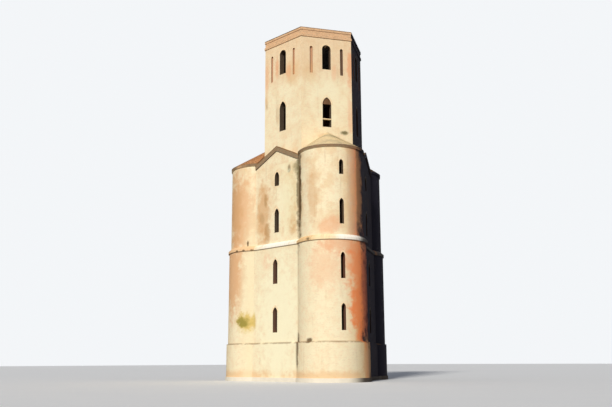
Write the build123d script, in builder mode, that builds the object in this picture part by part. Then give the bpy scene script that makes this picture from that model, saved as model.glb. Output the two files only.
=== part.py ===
from build123d import *
from math import cos, radians, sin, sqrt, tan
import os

# Brick folly tower at half its real size: a hexagonal core with a half-round turret on every
# second side and a gable on each of the others, and a slimmer hexagonal tower above them.
# Millimetres, Z up, the origin on the tower's axis at ground level.

# Walls in plan
room_apothem = 2425  # axis to the inner face of all six sides
flat_wall = 850  # thickness of a flat side above the string course
tower_wall = 380  # thickness of the upper tower
turret_wall = 375  # thickness of a turret above the string course
turret_centre = 3500  # axis to the centre of a turret's half round
set_off = 105  # step outwards of every wall below the string course
plinth_set_off = 85  # step outwards again at the base
footing_set_off = 50  # step outwards of the footing course under it

# Heights of the walls, one above another
footing_height = 230
base_height = 2150  # ground to the top of the plinth
lower_height = 5550
string_height = 300
string_slope = 150  # height of the weathered top within the string course
string_projection = 60
upper_height = 4725  # string course to the foot of the gables
coping_depth = 305  # upright depth of the brick coping on a gable
cornice_height = 145
cornice_projection = 55
attic_height = 1325  # turret cornice to the floor above the turret roofs
tower_storey = 3700
top_storey = 2550
tower_cornice_height = 150
tower_cornice_projection = 50
parapet_height = 280
parapet_wall = 300
parapet_coping_height = 170
parapet_coping_projection = 35

# Gables and roofs
gable_rake = 25  # degrees
coping_projection = 60
coping_width = 260  # front to back, behind the face of the wall
gable_roof_thickness = 60
gable_roof_drop = 70  # the roof behind a coping lies this much lower
turret_roof_rise = 1475  # cornice to the point where the half cone meets the tower
turret_roof_thickness = 130
turret_rafters = 25  # a half cone has a flat facet between each two

# Floors and the storeys they make
floor_thickness = 125
ground_floor_height = 125
floor_rise = 150  # floor above the top of the plinth, and above the string course
lower_storey = 2800
upper_storey_share = 0.6  # of the wall above the string course, from one floor to the next
deck_drop = 150  # roof deck below the top of the tower's walls
floor_gap = 0.3  # between a floor's corners and the curved wall of a turret
bay_floor_sides = 16  # straight cuts of a floor's boards round a turret

# Windows, niches and the doorway
lancet_width = 375
turret_lancet_width = 250
lancet_sill = 450
lancet_height = 1450
short_lancet_height = 875
lancet_splay = 170  # widening of a flat side's embrasure towards the room, on each side
lancet_reveal = 220  # straight part of its opening behind the face
tower_window_width = 550
tower_window_sill = 500
pointed_window_height = 1900
round_window_height = 1600
niche_width = 180
niche_height = 1750
niche_sill = 200
niche_depth = 110
niche_offset = 975  # from the middle of the side
doorway_width = 600
doorway_height = 1250
bay_pier = 100  # narrowest width beside a bay's arch
bay_arch_crown = 300  # masonry above the crown of the arch
transom_height = 60
transom_depth = 140
transom_rise = 500  # above the sill
blocked_head = 430  # height of the boarded part of the arched head
head_board_thickness = 60
bar_setback = 60  # transom and board behind the face

# Sides of the hexagon by the bearing of their outward normal, in degrees from +X
flat_sides = {"south": -90, "north_east": 30, "north_west": 150}
turret_sides = {"south_east": -30, "north": 90, "south_west": 210}
door_turret = "north"
barred_side = "south_east"
side_turn = 60

# Worked out from the sizes above
half_side = tan(radians(30))  # half a side's width for each unit of its distance from the axis
core_apothem = room_apothem + flat_wall
coping_back = core_apothem - coping_width
tower_apothem = room_apothem + tower_wall
turret_radius = core_apothem * half_side
turret_inner = turret_radius - turret_wall
lower_apothem = core_apothem + set_off
plinth_apothem = lower_apothem + plinth_set_off
string_bottom = base_height + lower_height
string_face = lower_apothem + string_projection
string_top = string_bottom + string_height
gable_foot = string_top + upper_height
cornice_bottom = gable_foot + coping_depth
gable_ridge = cornice_bottom + core_apothem * half_side * tan(radians(gable_rake))
turret_top = cornice_bottom + cornice_height
first_floor = base_height + floor_rise
second_floor = first_floor + lower_storey
third_floor = string_top + floor_rise
fourth_floor = third_floor + upper_storey_share * upper_height
fifth_floor = turret_top + attic_height
sixth_floor = fifth_floor + tower_storey
tower_wall_top = sixth_floor + top_storey
parapet_bottom = tower_wall_top + tower_cornice_height
parapet_top = parapet_bottom + parapet_height
roof_deck = tower_wall_top - deck_drop
lancet_sills = {"lower": (first_floor, second_floor), "upper": (third_floor, fourth_floor)}
lancet_heights = {"lower": (lancet_height, lancet_height), "upper": (lancet_height, short_lancet_height)}


# Planes

def level_plane(bearing, height=0.0):
    """Level plane whose X axis points outwards through a side."""
    return Plane.XY.offset(height).rotated((0, 0, bearing))


def face_plane(bearing, distance, height=0.0):
    """Upright plane across a side, X level along it, Y upwards and Z outwards."""
    level = level_plane(bearing, height)
    return Plane(level.from_local_coords(Vector(distance, 0, 0)), x_dir=level.y_dir, z_dir=level.x_dir)


# Plans, with X outwards through the side

def side_plan(inner, outer):
    """One side's wall between two distances from the axis, mitred where the hexagon turns."""
    with BuildSketch() as plan:
        Polygon(
            (inner, -inner * half_side),
            (outer, -outer * half_side),
            (outer, outer * half_side),
            (inner, inner * half_side),
            align=None,
        )
    return plan.sketch


def bow_plan(radius):
    """A half round on straight sides that run back to the upper tower's face."""
    with BuildSketch() as plan:
        with BuildLine():
            front = ThreePointArc(
                (turret_centre, -radius),
                (turret_centre + radius, 0),
                (turret_centre, radius),
            )
            Polyline(front @ 1, (tower_apothem, radius), (tower_apothem, -radius), front @ 0)
        make_face()
    return plan.sketch


def faceted_bow_plan(radius, sides):
    """The same plan with its half round in straight sides, their corners on the curve."""
    corners = [(tower_apothem, -radius)]
    for corner in range(sides + 1):
        turn = radians(180 * corner / sides - 90)
        corners.append((turret_centre + radius * cos(turn), radius * sin(turn)))
    corners.append((tower_apothem, radius))
    with BuildSketch() as plan:
        Polygon(*corners, align=None)
    return plan.sketch


def turret_plan(step=0.0, flat_step=0.0):
    """A turret's wall: a hollow bow, cut back to the flat sides that it springs from."""
    with BuildSketch() as plan:
        add(bow_plan(turret_radius + step))
        add(bow_plan(turret_inner), mode=Mode.SUBTRACT)
        for turn in (-side_turn, side_turn):
            add(side_plan(room_apothem, core_apothem + flat_step).rotate(Axis.Z, turn), mode=Mode.SUBTRACT)
    return plan.sketch


def hexagon_ring(inner, outer):
    """A ring between two hexagons, given by their apothems."""
    with BuildSketch() as plan:
        RegularPolygon(outer, 6, major_radius=False)
        RegularPolygon(inner, 6, major_radius=False, mode=Mode.SUBTRACT)
    return plan.sketch


# Outlines on an upright plane, standing on its X axis

def lancet(width, height):
    """A pointed arch, each side struck from the opposite springing."""
    half = width / 2
    spring = height - width * sqrt(3) / 2
    with BuildSketch() as outline:
        with BuildLine():
            CenterArc((-half, spring), width, 0, 60)
            CenterArc((half, spring), width, 120, 60)
            Polyline((-half, spring), (-half, 0), (half, 0), (half, spring))
        make_face()
    return outline.sketch


def round_arch(width, height):
    """A half-round arch on straight sides."""
    half = width / 2
    with BuildSketch() as outline:
        with BuildLine():
            CenterArc((0, height - half), half, 0, 180)
            Polyline((-half, height - half), (-half, 0), (half, 0), (half, height - half))
        make_face()
    return outline.sketch


def chevron(top, depth, half_width):
    """An inverted V under a ridge at this height, with upright ends."""
    fall = half_width * tan(radians(gable_rake))
    with BuildSketch() as outline:
        Polygon(
            (0, top),
            (-half_width, top - fall),
            (-half_width, top - fall - depth),
            (0, top - depth),
            (half_width, top - fall - depth),
            (half_width, top - fall),
            align=None,
        )
    return outline.sketch


# Cuts

def cut_opening(plane, outline, depth):
    """Cuts an outline from this plane inwards, out of the part in work."""
    with BuildSketch(plane) as hole:
        add(outline)
    extrude(hole.sketch, amount=-depth, mode=Mode.SUBTRACT)


def cut_splayed_lancet(bearing, face, sill, height):
    """Cuts a flat side's window: a pointed opening, and behind it a level-headed embrasure
    whose jambs splay towards the room."""
    throat = face - lancet_reveal
    cut_opening(face_plane(bearing, face, sill), lancet(lancet_width, height), lancet_reveal)
    half = lancet_width / 2
    with BuildSketch(level_plane(bearing, sill)) as embrasure:
        Polygon(
            (throat, -half),
            (throat, half),
            (room_apothem, half + lancet_splay),
            (room_apothem, -half - lancet_splay),
            align=None,
        )
    extrude(embrasure.sketch, amount=height, mode=Mode.SUBTRACT)


# Flat sides

def flat_side_base(bearing):
    with BuildPart() as wall:
        with BuildSketch(level_plane(bearing)):
            add(side_plan(room_apothem, plinth_apothem))
        extrude(amount=base_height)
        with BuildSketch(level_plane(bearing)):
            add(side_plan(plinth_apothem, plinth_apothem + footing_set_off))
        extrude(amount=footing_height)
    return wall.part


def flat_side_stage(bearing, stage, foot, height, face):
    with BuildPart() as wall:
        with BuildSketch(level_plane(bearing, foot)):
            add(side_plan(room_apothem, face))
        extrude(amount=height)
        for floor, opening in zip(lancet_sills[stage], lancet_heights[stage]):
            cut_splayed_lancet(bearing, face, floor + lancet_sill, opening)
    return wall.part


# Turrets

def turret_base(bearing, doorway):
    step = set_off + plinth_set_off
    with BuildPart() as wall:
        with BuildSketch(level_plane(bearing)):
            add(turret_plan(step + footing_set_off, step + footing_set_off))
        extrude(amount=footing_height)
        with BuildSketch(level_plane(bearing, footing_height)):
            add(turret_plan(step, step))
        extrude(amount=base_height - footing_height)
        if doorway:
            front = turret_centre + turret_radius + step + footing_set_off
            cut_opening(
                face_plane(bearing, front, ground_floor_height),
                lancet(doorway_width, doorway_height),
                front - turret_centre,
            )
    return wall.part


def cut_turret_windows(bearing, stage):
    front = turret_centre + turret_radius + set_off
    for floor, opening in zip(lancet_sills[stage], lancet_heights[stage]):
        cut_opening(
            face_plane(bearing, front, floor + lancet_sill),
            lancet(turret_lancet_width, opening),
            front - turret_centre,
        )


def turret_lower(bearing):
    with BuildPart() as wall:
        with BuildSketch(level_plane(bearing, base_height)):
            add(turret_plan(set_off, set_off))
        extrude(amount=lower_height)
        cut_turret_windows(bearing, "lower")
    return wall.part


def turret_upper(bearing):
    with BuildPart() as wall:
        with BuildSketch(level_plane(bearing, string_top)):
            add(turret_plan())
        extrude(amount=turret_top - string_top)
        with BuildSketch(level_plane(bearing, cornice_bottom)):
            add(turret_plan(cornice_projection))
        extrude(amount=cornice_height)
        cut_turret_windows(bearing, "upper")
    return wall.part


def turret_roof_cone(bearing, radius, height):
    """Rises from the half round, where it clears the flat sides, to one point on the tower's face."""
    with BuildSketch(level_plane(bearing, turret_top), mode=Mode.PRIVATE) as eaves:
        add(faceted_bow_plan(radius, turret_rafters - 1))
        for turn in (-side_turn, side_turn):
            add(side_plan(room_apothem, core_apothem).rotate(Axis.Z, turn), mode=Mode.SUBTRACT)
    point = level_plane(bearing, turret_top + height).from_local_coords(Vector(tower_apothem, 0, 0))
    with BuildPart() as cone:
        loft([eaves.sketch.face(), Vertex(*point)], ruled=True)
    return cone.part


def turret_roof(bearing):
    """A hollow half cone that leans on the tower."""
    with BuildPart() as roof:
        add(turret_roof_cone(bearing, turret_radius + cornice_projection, turret_roof_rise))
        inside = turret_roof_rise - turret_roof_thickness
        add(turret_roof_cone(bearing, turret_inner, inside), mode=Mode.SUBTRACT)
    return roof.part


# String course

def string_on_flat_side(bearing):
    """A band with a sloping top, back to the face of the wall above it."""
    with BuildPart() as band:
        with BuildSketch(level_plane(bearing, string_bottom)):
            add(side_plan(room_apothem, string_face))
        extrude(amount=string_height - string_slope)
        with BuildSketch(level_plane(bearing, string_top - string_slope)):
            add(side_plan(room_apothem, string_face))
        with BuildSketch(level_plane(bearing, string_top)):
            add(side_plan(room_apothem, core_apothem))
        loft(ruled=True)
    return band.part


def string_on_turret(bearing):
    """The same band round a turret, cut back to the bands of the flat sides."""
    step = set_off + string_projection
    with BuildPart() as band:
        with BuildSketch(level_plane(bearing, string_bottom)):
            add(bow_plan(turret_radius + step))
        extrude(amount=string_height - string_slope)
        with BuildSketch(level_plane(bearing, string_top - string_slope)):
            add(bow_plan(turret_radius + step))
        with BuildSketch(level_plane(bearing, string_top)):
            add(bow_plan(turret_radius))
        loft(ruled=True)
        with BuildSketch(level_plane(bearing, string_bottom)):
            add(bow_plan(turret_inner))
        extrude(amount=string_height, mode=Mode.SUBTRACT)
        for turn in (-side_turn, side_turn):
            add(string_on_flat_side(bearing + turn), mode=Mode.SUBTRACT)
    return band.part


# Gables, between the face of a flat side and the upper tower

def under_slopes(bearing, inner, outer, ridge):
    """Masonry between two distances from the axis, from the gable's foot up to two slopes."""
    with BuildPart() as block:
        with BuildSketch(level_plane(bearing, gable_foot)):
            add(side_plan(inner, outer))
        extrude(amount=ridge - gable_foot)
        with BuildSketch(face_plane(bearing, outer)):
            add(chevron(ridge, ridge - gable_foot, outer * half_side))
        extrude(amount=inner - outer, mode=Mode.INTERSECT)
    return block.part


def gable(bearing):
    with BuildPart() as wall:
        add(under_slopes(bearing, coping_back, core_apothem, gable_ridge - coping_depth))
        rear_ridge = gable_ridge - gable_roof_drop - gable_roof_thickness
        add(under_slopes(bearing, tower_apothem, coping_back, rear_ridge))
    return wall.part


def gable_roof(bearing):
    """Two slopes behind the coping, up to the tower."""
    with BuildPart() as roof:
        with BuildSketch(face_plane(bearing, coping_back)):
            add(chevron(gable_ridge - gable_roof_drop, gable_roof_thickness, core_apothem * half_side))
        extrude(amount=tower_apothem - coping_back)
        with BuildSketch(level_plane(bearing, gable_foot)):
            add(side_plan(tower_apothem, coping_back))
        extrude(amount=gable_ridge - gable_foot, mode=Mode.INTERSECT)
    return roof.part


def gable_coping(bearing):
    """Raking bands of brick that stand forward of the wall, between the turrets' cornices."""
    with BuildPart() as coping:
        with BuildSketch(face_plane(bearing, core_apothem + coping_projection)):
            add(chevron(gable_ridge, coping_depth, core_apothem * half_side))
        extrude(amount=-(coping_width + coping_projection))
        with BuildSketch(level_plane(bearing, gable_foot)):
            add(side_plan(core_apothem, core_apothem + coping_projection))
            for turn in (-side_turn, side_turn):
                add(bow_plan(turret_radius + cornice_projection).rotate(Axis.Z, turn), mode=Mode.SUBTRACT)
            add(side_plan(coping_back, core_apothem))
        extrude(amount=gable_ridge - gable_foot, mode=Mode.INTERSECT)
    return coping.part


# Upper tower

def tower_side(bearing, foot):
    """One side, with a pointed window, a round-headed one above it and a blind niche beside that."""
    with BuildPart() as wall:
        with BuildSketch(level_plane(bearing, foot)):
            add(side_plan(room_apothem, tower_apothem))
        extrude(amount=tower_wall_top - foot)
        pointed = face_plane(bearing, tower_apothem, fifth_floor + tower_window_sill)
        cut_opening(pointed, lancet(tower_window_width, pointed_window_height), tower_wall)
        rounded = face_plane(bearing, tower_apothem, sixth_floor + tower_window_sill)
        cut_opening(rounded, round_arch(tower_window_width, round_window_height), tower_wall)
        niche = face_plane(bearing, tower_apothem, sixth_floor + niche_sill)
        for side in (-niche_offset, niche_offset):
            outline = round_arch(niche_width, niche_height).translate(Vector(side, 0, 0))
            cut_opening(niche, outline, niche_depth)
    return wall.part


def hexagon_course(inner, outer, bottom, height):
    with BuildPart() as course:
        with BuildSketch(Plane.XY.offset(bottom)):
            add(hexagon_ring(inner, outer))
        extrude(amount=height)
    return course.part


def bay_arch(bearing):
    """The round arch between the room and a turret, which carries the tower above."""
    springing = fourth_floor
    opening = turret_top - bay_arch_crown - springing
    with BuildPart() as arch:
        with BuildSketch(level_plane(bearing, springing)):
            add(side_plan(room_apothem, tower_apothem))
        extrude(amount=turret_top - springing)
        outline = round_arch(2 * (room_apothem * half_side - bay_pier), opening)
        cut_opening(face_plane(bearing, tower_apothem, springing), outline, tower_wall)
    return arch.part


# Floors

def trefoil_floor(level):
    """A floor of the core that runs on into its three turrets."""
    with BuildPart() as floor:
        with BuildSketch(Plane.XY.offset(level - floor_thickness)):
            RegularPolygon(room_apothem, 6, major_radius=False)
            for bearing in turret_sides.values():
                add(side_plan(room_apothem, tower_apothem).rotate(Axis.Z, bearing))
                add(faceted_bow_plan(turret_inner - floor_gap, bay_floor_sides).rotate(Axis.Z, bearing))
        extrude(amount=floor_thickness)
    return floor.part


def hexagon_floor(level):
    with BuildPart() as floor:
        with BuildSketch(Plane.XY.offset(level - floor_thickness)):
            RegularPolygon(room_apothem, 6, major_radius=False)
        extrude(amount=floor_thickness)
    return floor.part


# Bar and board in the one tower window that has them

def window_transom():
    level = fifth_floor + tower_window_sill + transom_rise
    with BuildPart() as bar:
        with BuildSketch(face_plane(turret_sides[barred_side], tower_apothem - bar_setback, level)):
            Rectangle(tower_window_width, transom_height, align=(Align.CENTER, Align.MIN))
        extrude(amount=-transom_depth)
    return bar.part


def window_head_board():
    sill = fifth_floor + tower_window_sill
    with BuildPart() as board:
        with BuildSketch(face_plane(turret_sides[barred_side], tower_apothem - bar_setback, sill)):
            add(lancet(tower_window_width, pointed_window_height))
            Rectangle(
                tower_window_width,
                pointed_window_height - blocked_head,
                align=(Align.CENTER, Align.MIN),
                mode=Mode.SUBTRACT,
            )
        extrude(amount=-head_board_thickness)
    return board.part


# The finished pieces

pieces = {}
for name, bearing in flat_sides.items():
    pieces[f"{name}_wall_base"] = flat_side_base(bearing)
    pieces[f"{name}_wall_lower"] = flat_side_stage(bearing, "lower", base_height, lower_height, lower_apothem)
    pieces[f"{name}_wall_upper"] = flat_side_stage(bearing, "upper", string_top, upper_height, core_apothem)
    pieces[f"{name}_tower_wall"] = tower_side(bearing, gable_foot)
for name, bearing in turret_sides.items():
    pieces[f"{name}_turret_base"] = turret_base(bearing, name == door_turret)
    pieces[f"{name}_turret_lower"] = turret_lower(bearing)
    pieces[f"{name}_turret_upper"] = turret_upper(bearing)
    pieces[f"{name}_tower_wall"] = tower_side(bearing, turret_top)

# Pieces that come three times, once on each flat side or turret
threefold = {
    "string_course_flat_sides": (string_on_flat_side, flat_sides),
    "string_course_turrets": (string_on_turret, turret_sides),
    "gables": (gable, flat_sides),
    "gable_roofs": (gable_roof, flat_sides),
    "gable_copings": (gable_coping, flat_sides),
    "turret_roofs": (turret_roof, turret_sides),
    "bay_arches": (bay_arch, turret_sides),
}
for name, (make, sides) in threefold.items():
    pieces[name] = Part(children=[make(bearing) for bearing in sides.values()])

parapet_inner = tower_apothem - parapet_wall
coping_inner = parapet_inner - parapet_coping_projection
coping_outer = tower_apothem + parapet_coping_projection
cornice_outer = tower_apothem + tower_cornice_projection
courses = {
    "tower_cornice": (room_apothem, cornice_outer, tower_wall_top, tower_cornice_height),
    "parapet": (parapet_inner, tower_apothem, parapet_bottom, parapet_height),
    "parapet_coping": (coping_inner, coping_outer, parapet_top, parapet_coping_height),
}
for name, sizes in courses.items():
    pieces[name] = hexagon_course(*sizes)

pieces["ground_floor"] = trefoil_floor(ground_floor_height)
pieces["first_floor"] = trefoil_floor(first_floor)
pieces["second_floor"] = trefoil_floor(second_floor)
pieces["third_floor"] = trefoil_floor(third_floor)
pieces["fourth_floor"] = trefoil_floor(fourth_floor)
pieces["fifth_floor"] = hexagon_floor(fifth_floor)
pieces["sixth_floor"] = hexagon_floor(sixth_floor)
pieces["roof_deck"] = hexagon_floor(roof_deck)
pieces["window_transom"] = window_transom()
pieces["window_head_board"] = window_head_board()

os.makedirs("parts", exist_ok=True)
for name, part in pieces.items():
    part.label = name
    export_step(part, f"parts/{name}.step")
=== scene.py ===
# %% [markdown]
# # A brick folly tower at half its size
#
# The real one is a tall, ruinous brick tower. Its core is a hexagon with a half-round turret on
# every second side and a gable on each of the others, and a slimmer hexagonal tower stands on
# it. The walls, openings and roofs come finished from the CAD model. This lesson adds what a
# bricklayer, a tiler and the weather gave it: bond and joints, arches turned in brick, tiles in
# courses and a coping of bricks on edge. It also paints the walls pale cream on the sunny side,
# partly bleached brick and partly painted sunlight, and dark away from it as painted shade.

# %% Load the tower's frame
import random
from math import atan2, ceil, cos, floor, pi, radians, sin, sqrt, tan

import bmesh
import bpy
from mathutils import Matrix, Vector


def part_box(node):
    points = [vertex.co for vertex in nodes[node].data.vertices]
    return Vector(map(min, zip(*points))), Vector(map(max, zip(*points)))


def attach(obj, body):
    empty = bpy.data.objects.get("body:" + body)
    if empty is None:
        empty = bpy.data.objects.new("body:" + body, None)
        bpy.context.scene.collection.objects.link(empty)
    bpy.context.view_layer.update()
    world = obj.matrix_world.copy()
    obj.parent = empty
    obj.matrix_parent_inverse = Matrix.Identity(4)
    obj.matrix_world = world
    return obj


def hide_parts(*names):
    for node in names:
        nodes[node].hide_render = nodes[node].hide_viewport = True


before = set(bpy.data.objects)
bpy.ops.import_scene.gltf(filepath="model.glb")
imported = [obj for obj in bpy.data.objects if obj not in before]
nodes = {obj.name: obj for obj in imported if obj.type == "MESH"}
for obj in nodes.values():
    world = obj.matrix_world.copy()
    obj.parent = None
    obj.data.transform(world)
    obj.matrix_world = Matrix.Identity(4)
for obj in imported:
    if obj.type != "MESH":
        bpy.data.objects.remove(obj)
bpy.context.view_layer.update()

scene = bpy.context.scene

# %% [markdown]
# ## Sizes that the frame gives
#
# Everything added here must sit on the walls, so its place is read from the frame's boxes. Each
# piece is modelled on the south side, which faces -Y, or on a turret turned to face it, and is
# then copied round the tower.

# %% Read the walls' places
side_width = 2 * tan(radians(30))  # of a hexagon, for each metre from its middle to a side
core_distance = -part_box("south_wall_upper")[0].y
lower_distance = -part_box("south_wall_lower")[0].y
tower_distance = -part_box("south_tower_wall")[0].y
corner = core_distance * side_width / 2  # of the core, from the middle of a side
tower_corner = tower_distance * side_width / 2
turret_radius = corner
lower_turret_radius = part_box("north_turret_lower")[1].x
turret_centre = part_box("north_turret_lower")[1].y - lower_turret_radius
plinth_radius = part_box("north_turret_base")[1].y - turret_centre
plinth_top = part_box("south_wall_base")[1].z
string_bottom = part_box("string_course_flat_sides")[0].z
gable_roof_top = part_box("gable_roofs")[1].z
turret_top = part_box("north_turret_upper")[1].z
cornice_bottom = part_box("tower_cornice")[0].z
storeys = ("ground", "first", "second", "third", "fourth", "fifth", "sixth")
floors = {storey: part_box(f"{storey}_floor")[1].z for storey in storeys}

flat_bearings = {"south": -90, "north_east": 30, "north_west": 150}
turret_bearings = {"south_east": -30, "north": 90, "south_west": 210}
print("Turrets:", round(turret_radius, 3), "m in radius,", round(turret_centre, 3), "m from the axis")

# %% [markdown]
# ## The camera
#
# The photograph was taken from the ground, some way off the corner between the south side and
# the south-east turret. The camera stands at that same point, found by fitting the tower's
# edges, so that every edge hides or shows what it does there. It looks up with a longer lens,
# which makes the tower fill the frame.

# %% Place the camera
camera_bearing = radians(44.6)  # from the south, towards the east
camera_distance = 46.05
camera_height = 1.055
camera_offset = 0.645  # to the left of the line to the tower's axis
camera_pitch = radians(12.0)
camera_aim = radians(-0.12)  # to the left of the tower's axis if positive
camera_roll = radians(-0.25)

camera_data = bpy.data.cameras.new("camera")
camera_data.sensor_width = 36.0
camera_data.lens = 44.0
camera_data.clip_end = 500.0
camera = bpy.data.objects.new("camera", camera_data)
scene.collection.objects.link(camera)
away = Vector((sin(camera_bearing), -cos(camera_bearing), 0))
rightwards = Vector((cos(camera_bearing), sin(camera_bearing), 0))
camera.location = away * camera_distance - rightwards * camera_offset
camera.location.z = camera_height
camera.rotation_mode = "QUATERNION"
turned = Matrix.Rotation(camera_bearing + camera_aim, 4, "Z")
pitched = Matrix.Rotation(pi / 2 + camera_pitch, 4, "X")
rolled = Matrix.Rotation(camera_roll, 4, "Z")
camera.rotation_quaternion = (turned @ pitched @ rolled).to_quaternion()
scene.camera = camera
print("The camera stands", round(camera.location.length, 1), "m from the tower")

# %% [markdown]
# ## Light and floor
#
# A wide, low lamp stands to the left of the camera, as the sun did, so that the turrets round
# off into shade and the sides that face away stay dark. The world gives a weak even fill. The
# floor and the background are pale only to the camera, so they throw little light back.

# %% Hang the lamp
lamp_bearing = radians(-62)  # of the lamp, from +X
lamp_height = radians(27)
lamp_data = bpy.data.lights.new("low_lamp", "SUN")
lamp_data.energy = 3.4
lamp_data.angle = radians(9)
lamp_data.color = (1.0, 0.965, 0.90)
lamp = bpy.data.objects.new("low_lamp", lamp_data)
scene.collection.objects.link(lamp)
lamp.rotation_euler = (pi / 2 - lamp_height, 0, lamp_bearing + pi / 2)
scene.view_settings.view_transform = "Standard"
print("The lamp stands", round(lamp_height * 180 / pi), "degrees high")

# %% [markdown]
# ## A short way to write materials
#
# A material is a net of nodes. Wired one by one, even a simple sum takes many lines. The small
# classes below wrap a net and the outputs of its nodes, so that a sum written in Python adds its
# Math nodes by itself, and one method adds every other kind of node.

# %% Sums on sockets
def sum_by(operation):
    """A method that joins a value, and what it is given, to a Math node of this kind."""

    def method(self, *others):
        return self.math(operation, *others)

    return method


class Value:
    """The output of a node. Python's operators join it to Math nodes."""

    def __init__(self, net, socket):
        self.net = net
        self.socket = socket

    def math(self, operation, *others):
        places = dict(enumerate((self,) + others))
        return self.net.node("ShaderNodeMath", {"operation": operation}, places)

    __add__ = __radd__ = sum_by("ADD")
    __mul__ = __rmul__ = sum_by("MULTIPLY")
    __sub__ = sum_by("SUBTRACT")
    __truediv__ = sum_by("DIVIDE")
    __mod__ = sum_by("FLOORED_MODULO")
    __abs__ = sum_by("ABSOLUTE")
    __gt__ = sum_by("GREATER_THAN")
    __lt__ = sum_by("LESS_THAN")
    floor = sum_by("FLOOR")
    least = sum_by("MINIMUM")
    most = sum_by("MAXIMUM")

    def __rsub__(self, other):
        return self * -1 + other

    def to_edge(self, width):
        """How far a point is from the nearer of two edges, at 0 and at this width."""
        return self.least(width - self)

    def steps(self, low, high):
        """Rises smoothly from 0 at low to 1 at high."""
        kind = {"interpolation_type": "SMOOTHSTEP", "clamp": True}
        places = {"Value": self, "From Min": low, "From Max": high}
        return self.net.node("ShaderNodeMapRange", kind, places)


class Net:
    """A net of nodes."""

    def __init__(self, tree):
        self.tree = tree

    def node(self, kind, settings, places, output=0):
        """Adds a node, makes its settings, fills its sockets and gives back one of its outputs."""
        made = self.tree.nodes.new(kind)
        for name, setting in settings.items():
            if name == "stops":
                self.set_stops(made.color_ramp, setting)
            else:
                setattr(made, name, setting)
        for place, content in places.items():
            if isinstance(content, Value):
                self.link(content, made, place)
            else:
                made.inputs[place].default_value = content
        return Value(self, made.outputs[output])

    def link(self, value, node, place):
        self.tree.links.new(value.socket, node.inputs[place])

    def set_stops(self, ramp, stops):
        while len(ramp.elements) < len(stops):
            ramp.elements.new(1.0)
        for element, (place, colour) in zip(ramp.elements, stops):
            element.position = place
            element.color = (*colour, 1.0)

    def position(self):
        """X, Y and Z of the point on the surface, in metres."""
        return self.split(self.node("ShaderNodeTexCoord", {}, {}, "Object"))

    def facing(self):
        """X, Y and Z of the direction that the surface faces."""
        return self.split(self.node("ShaderNodeTexCoord", {}, {}, "Normal"))

    def split(self, vector):
        x = self.node("ShaderNodeSeparateXYZ", {}, {0: vector}, "X")
        parts = x.socket.node.outputs
        return x, Value(self, parts["Y"]), Value(self, parts["Z"])

    def number(self, content):
        """A number that is the same all over the surface."""
        made = self.node("ShaderNodeValue", {}, {})
        made.socket.default_value = content
        return made

    def vector(self, x, y, z):
        return self.node("ShaderNodeCombineXYZ", {}, {"X": x, "Y": y, "Z": z})

    def noise(self, vector, scale, detail=3.0, rough=0.55):
        """Cloudy noise between 0 and 1, with this many clouds to a metre."""
        places = {"Vector": vector, "Scale": scale, "Detail": detail, "Roughness": rough}
        return self.node("ShaderNodeTexNoise", {}, places, "Fac")

    def chance(self, vector):
        """A number between 0 and 1 for each whole-numbered vector."""
        kind = {"noise_dimensions": "3D"}
        return self.node("ShaderNodeTexWhiteNoise", kind, {"Vector": vector}, "Value")

    def luck(self):
        """The chance number that each modelled brick or tile has from its mesh."""
        return self.node("ShaderNodeAttribute", {"attribute_name": "luck"}, {}, "Fac")

    def mix(self, share, first, second):
        """Two colours, with this share of the second."""
        first = first if isinstance(first, Value) else (*first, 1.0)
        second = second if isinstance(second, Value) else (*second, 1.0)
        return self.node("ShaderNodeMix", {"data_type": "RGBA"}, {0: share, 6: first, 7: second}, 2)

    def ramp(self, value, *stops):
        return self.node("ShaderNodeValToRGB", {"stops": stops}, {"Fac": value}, "Color")


class Finish(Net):
    """A material in the making. Its shade is its colour so far."""

    def __init__(self, name, roughness=0.9, gloss=0.1):
        self.material = bpy.data.materials.new(name)
        self.material.use_nodes = True
        super().__init__(self.material.node_tree)
        self.shader = self.tree.nodes["Principled BSDF"]
        self.shader.inputs["Roughness"].default_value = roughness
        self.shader.inputs["Specular IOR Level"].default_value = gloss
        self.shade = None

    def stain(self, share, colour):
        """Lays this share of another colour over the shade."""
        self.shade = self.mix(share, self.shade, colour)

    def paint(self):
        """Gives the surface its shade."""
        self.link(self.shade, self.shader, "Base Color")

    def roughness(self, value):
        self.link(value, self.shader, "Roughness")

    def relief(self, height, depth):
        """Bump of this depth in metres, from a height between 0 and 1."""
        places = {"Height": height, "Distance": depth, "Strength": 1.0}
        self.link(self.node("ShaderNodeBump", {}, places, "Normal"), self.shader, "Normal")


def dress(names, finish):
    """Gives a finish to pieces of the frame."""
    for name in names:
        nodes[name].data.materials.clear()
        nodes[name].data.materials.append(finish.material)


# %% Lay the floor
bpy.ops.object.select_all(action="DESELECT")
bpy.ops.mesh.primitive_plane_add(size=600)
ground = bpy.context.object
ground.name = "ground"

paper = Finish("pale_paper", roughness=1.0)
seen = paper.node("ShaderNodeLightPath", {}, {}, "Is Camera Ray")
grain = paper.noise(paper.node("ShaderNodeTexCoord", {}, {}, "Object"), 0.4)
grained = paper.mix(grain, (0.83, 0.84, 0.85), (0.87, 0.87, 0.87))
paper.shade = paper.mix(seen, (0.30, 0.29, 0.28), grained)
paper.paint()
ground.data.materials.append(paper.material)

# %% Light the world
world = bpy.data.worlds.new("world")
world.use_nodes = True
scene.world = world
sky = Net(world.node_tree)
direct = sky.node("ShaderNodeLightPath", {}, {}, "Is Camera Ray")
mirrored = Value(sky, direct.socket.node.outputs["Is Glossy Ray"])
sky_shade = sky.mix(direct.most(mirrored), (0.155, 0.170, 0.205), (0.90, 0.92, 0.94))
sky.link(sky_shade, sky.tree.nodes["Background"], "Color")

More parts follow.
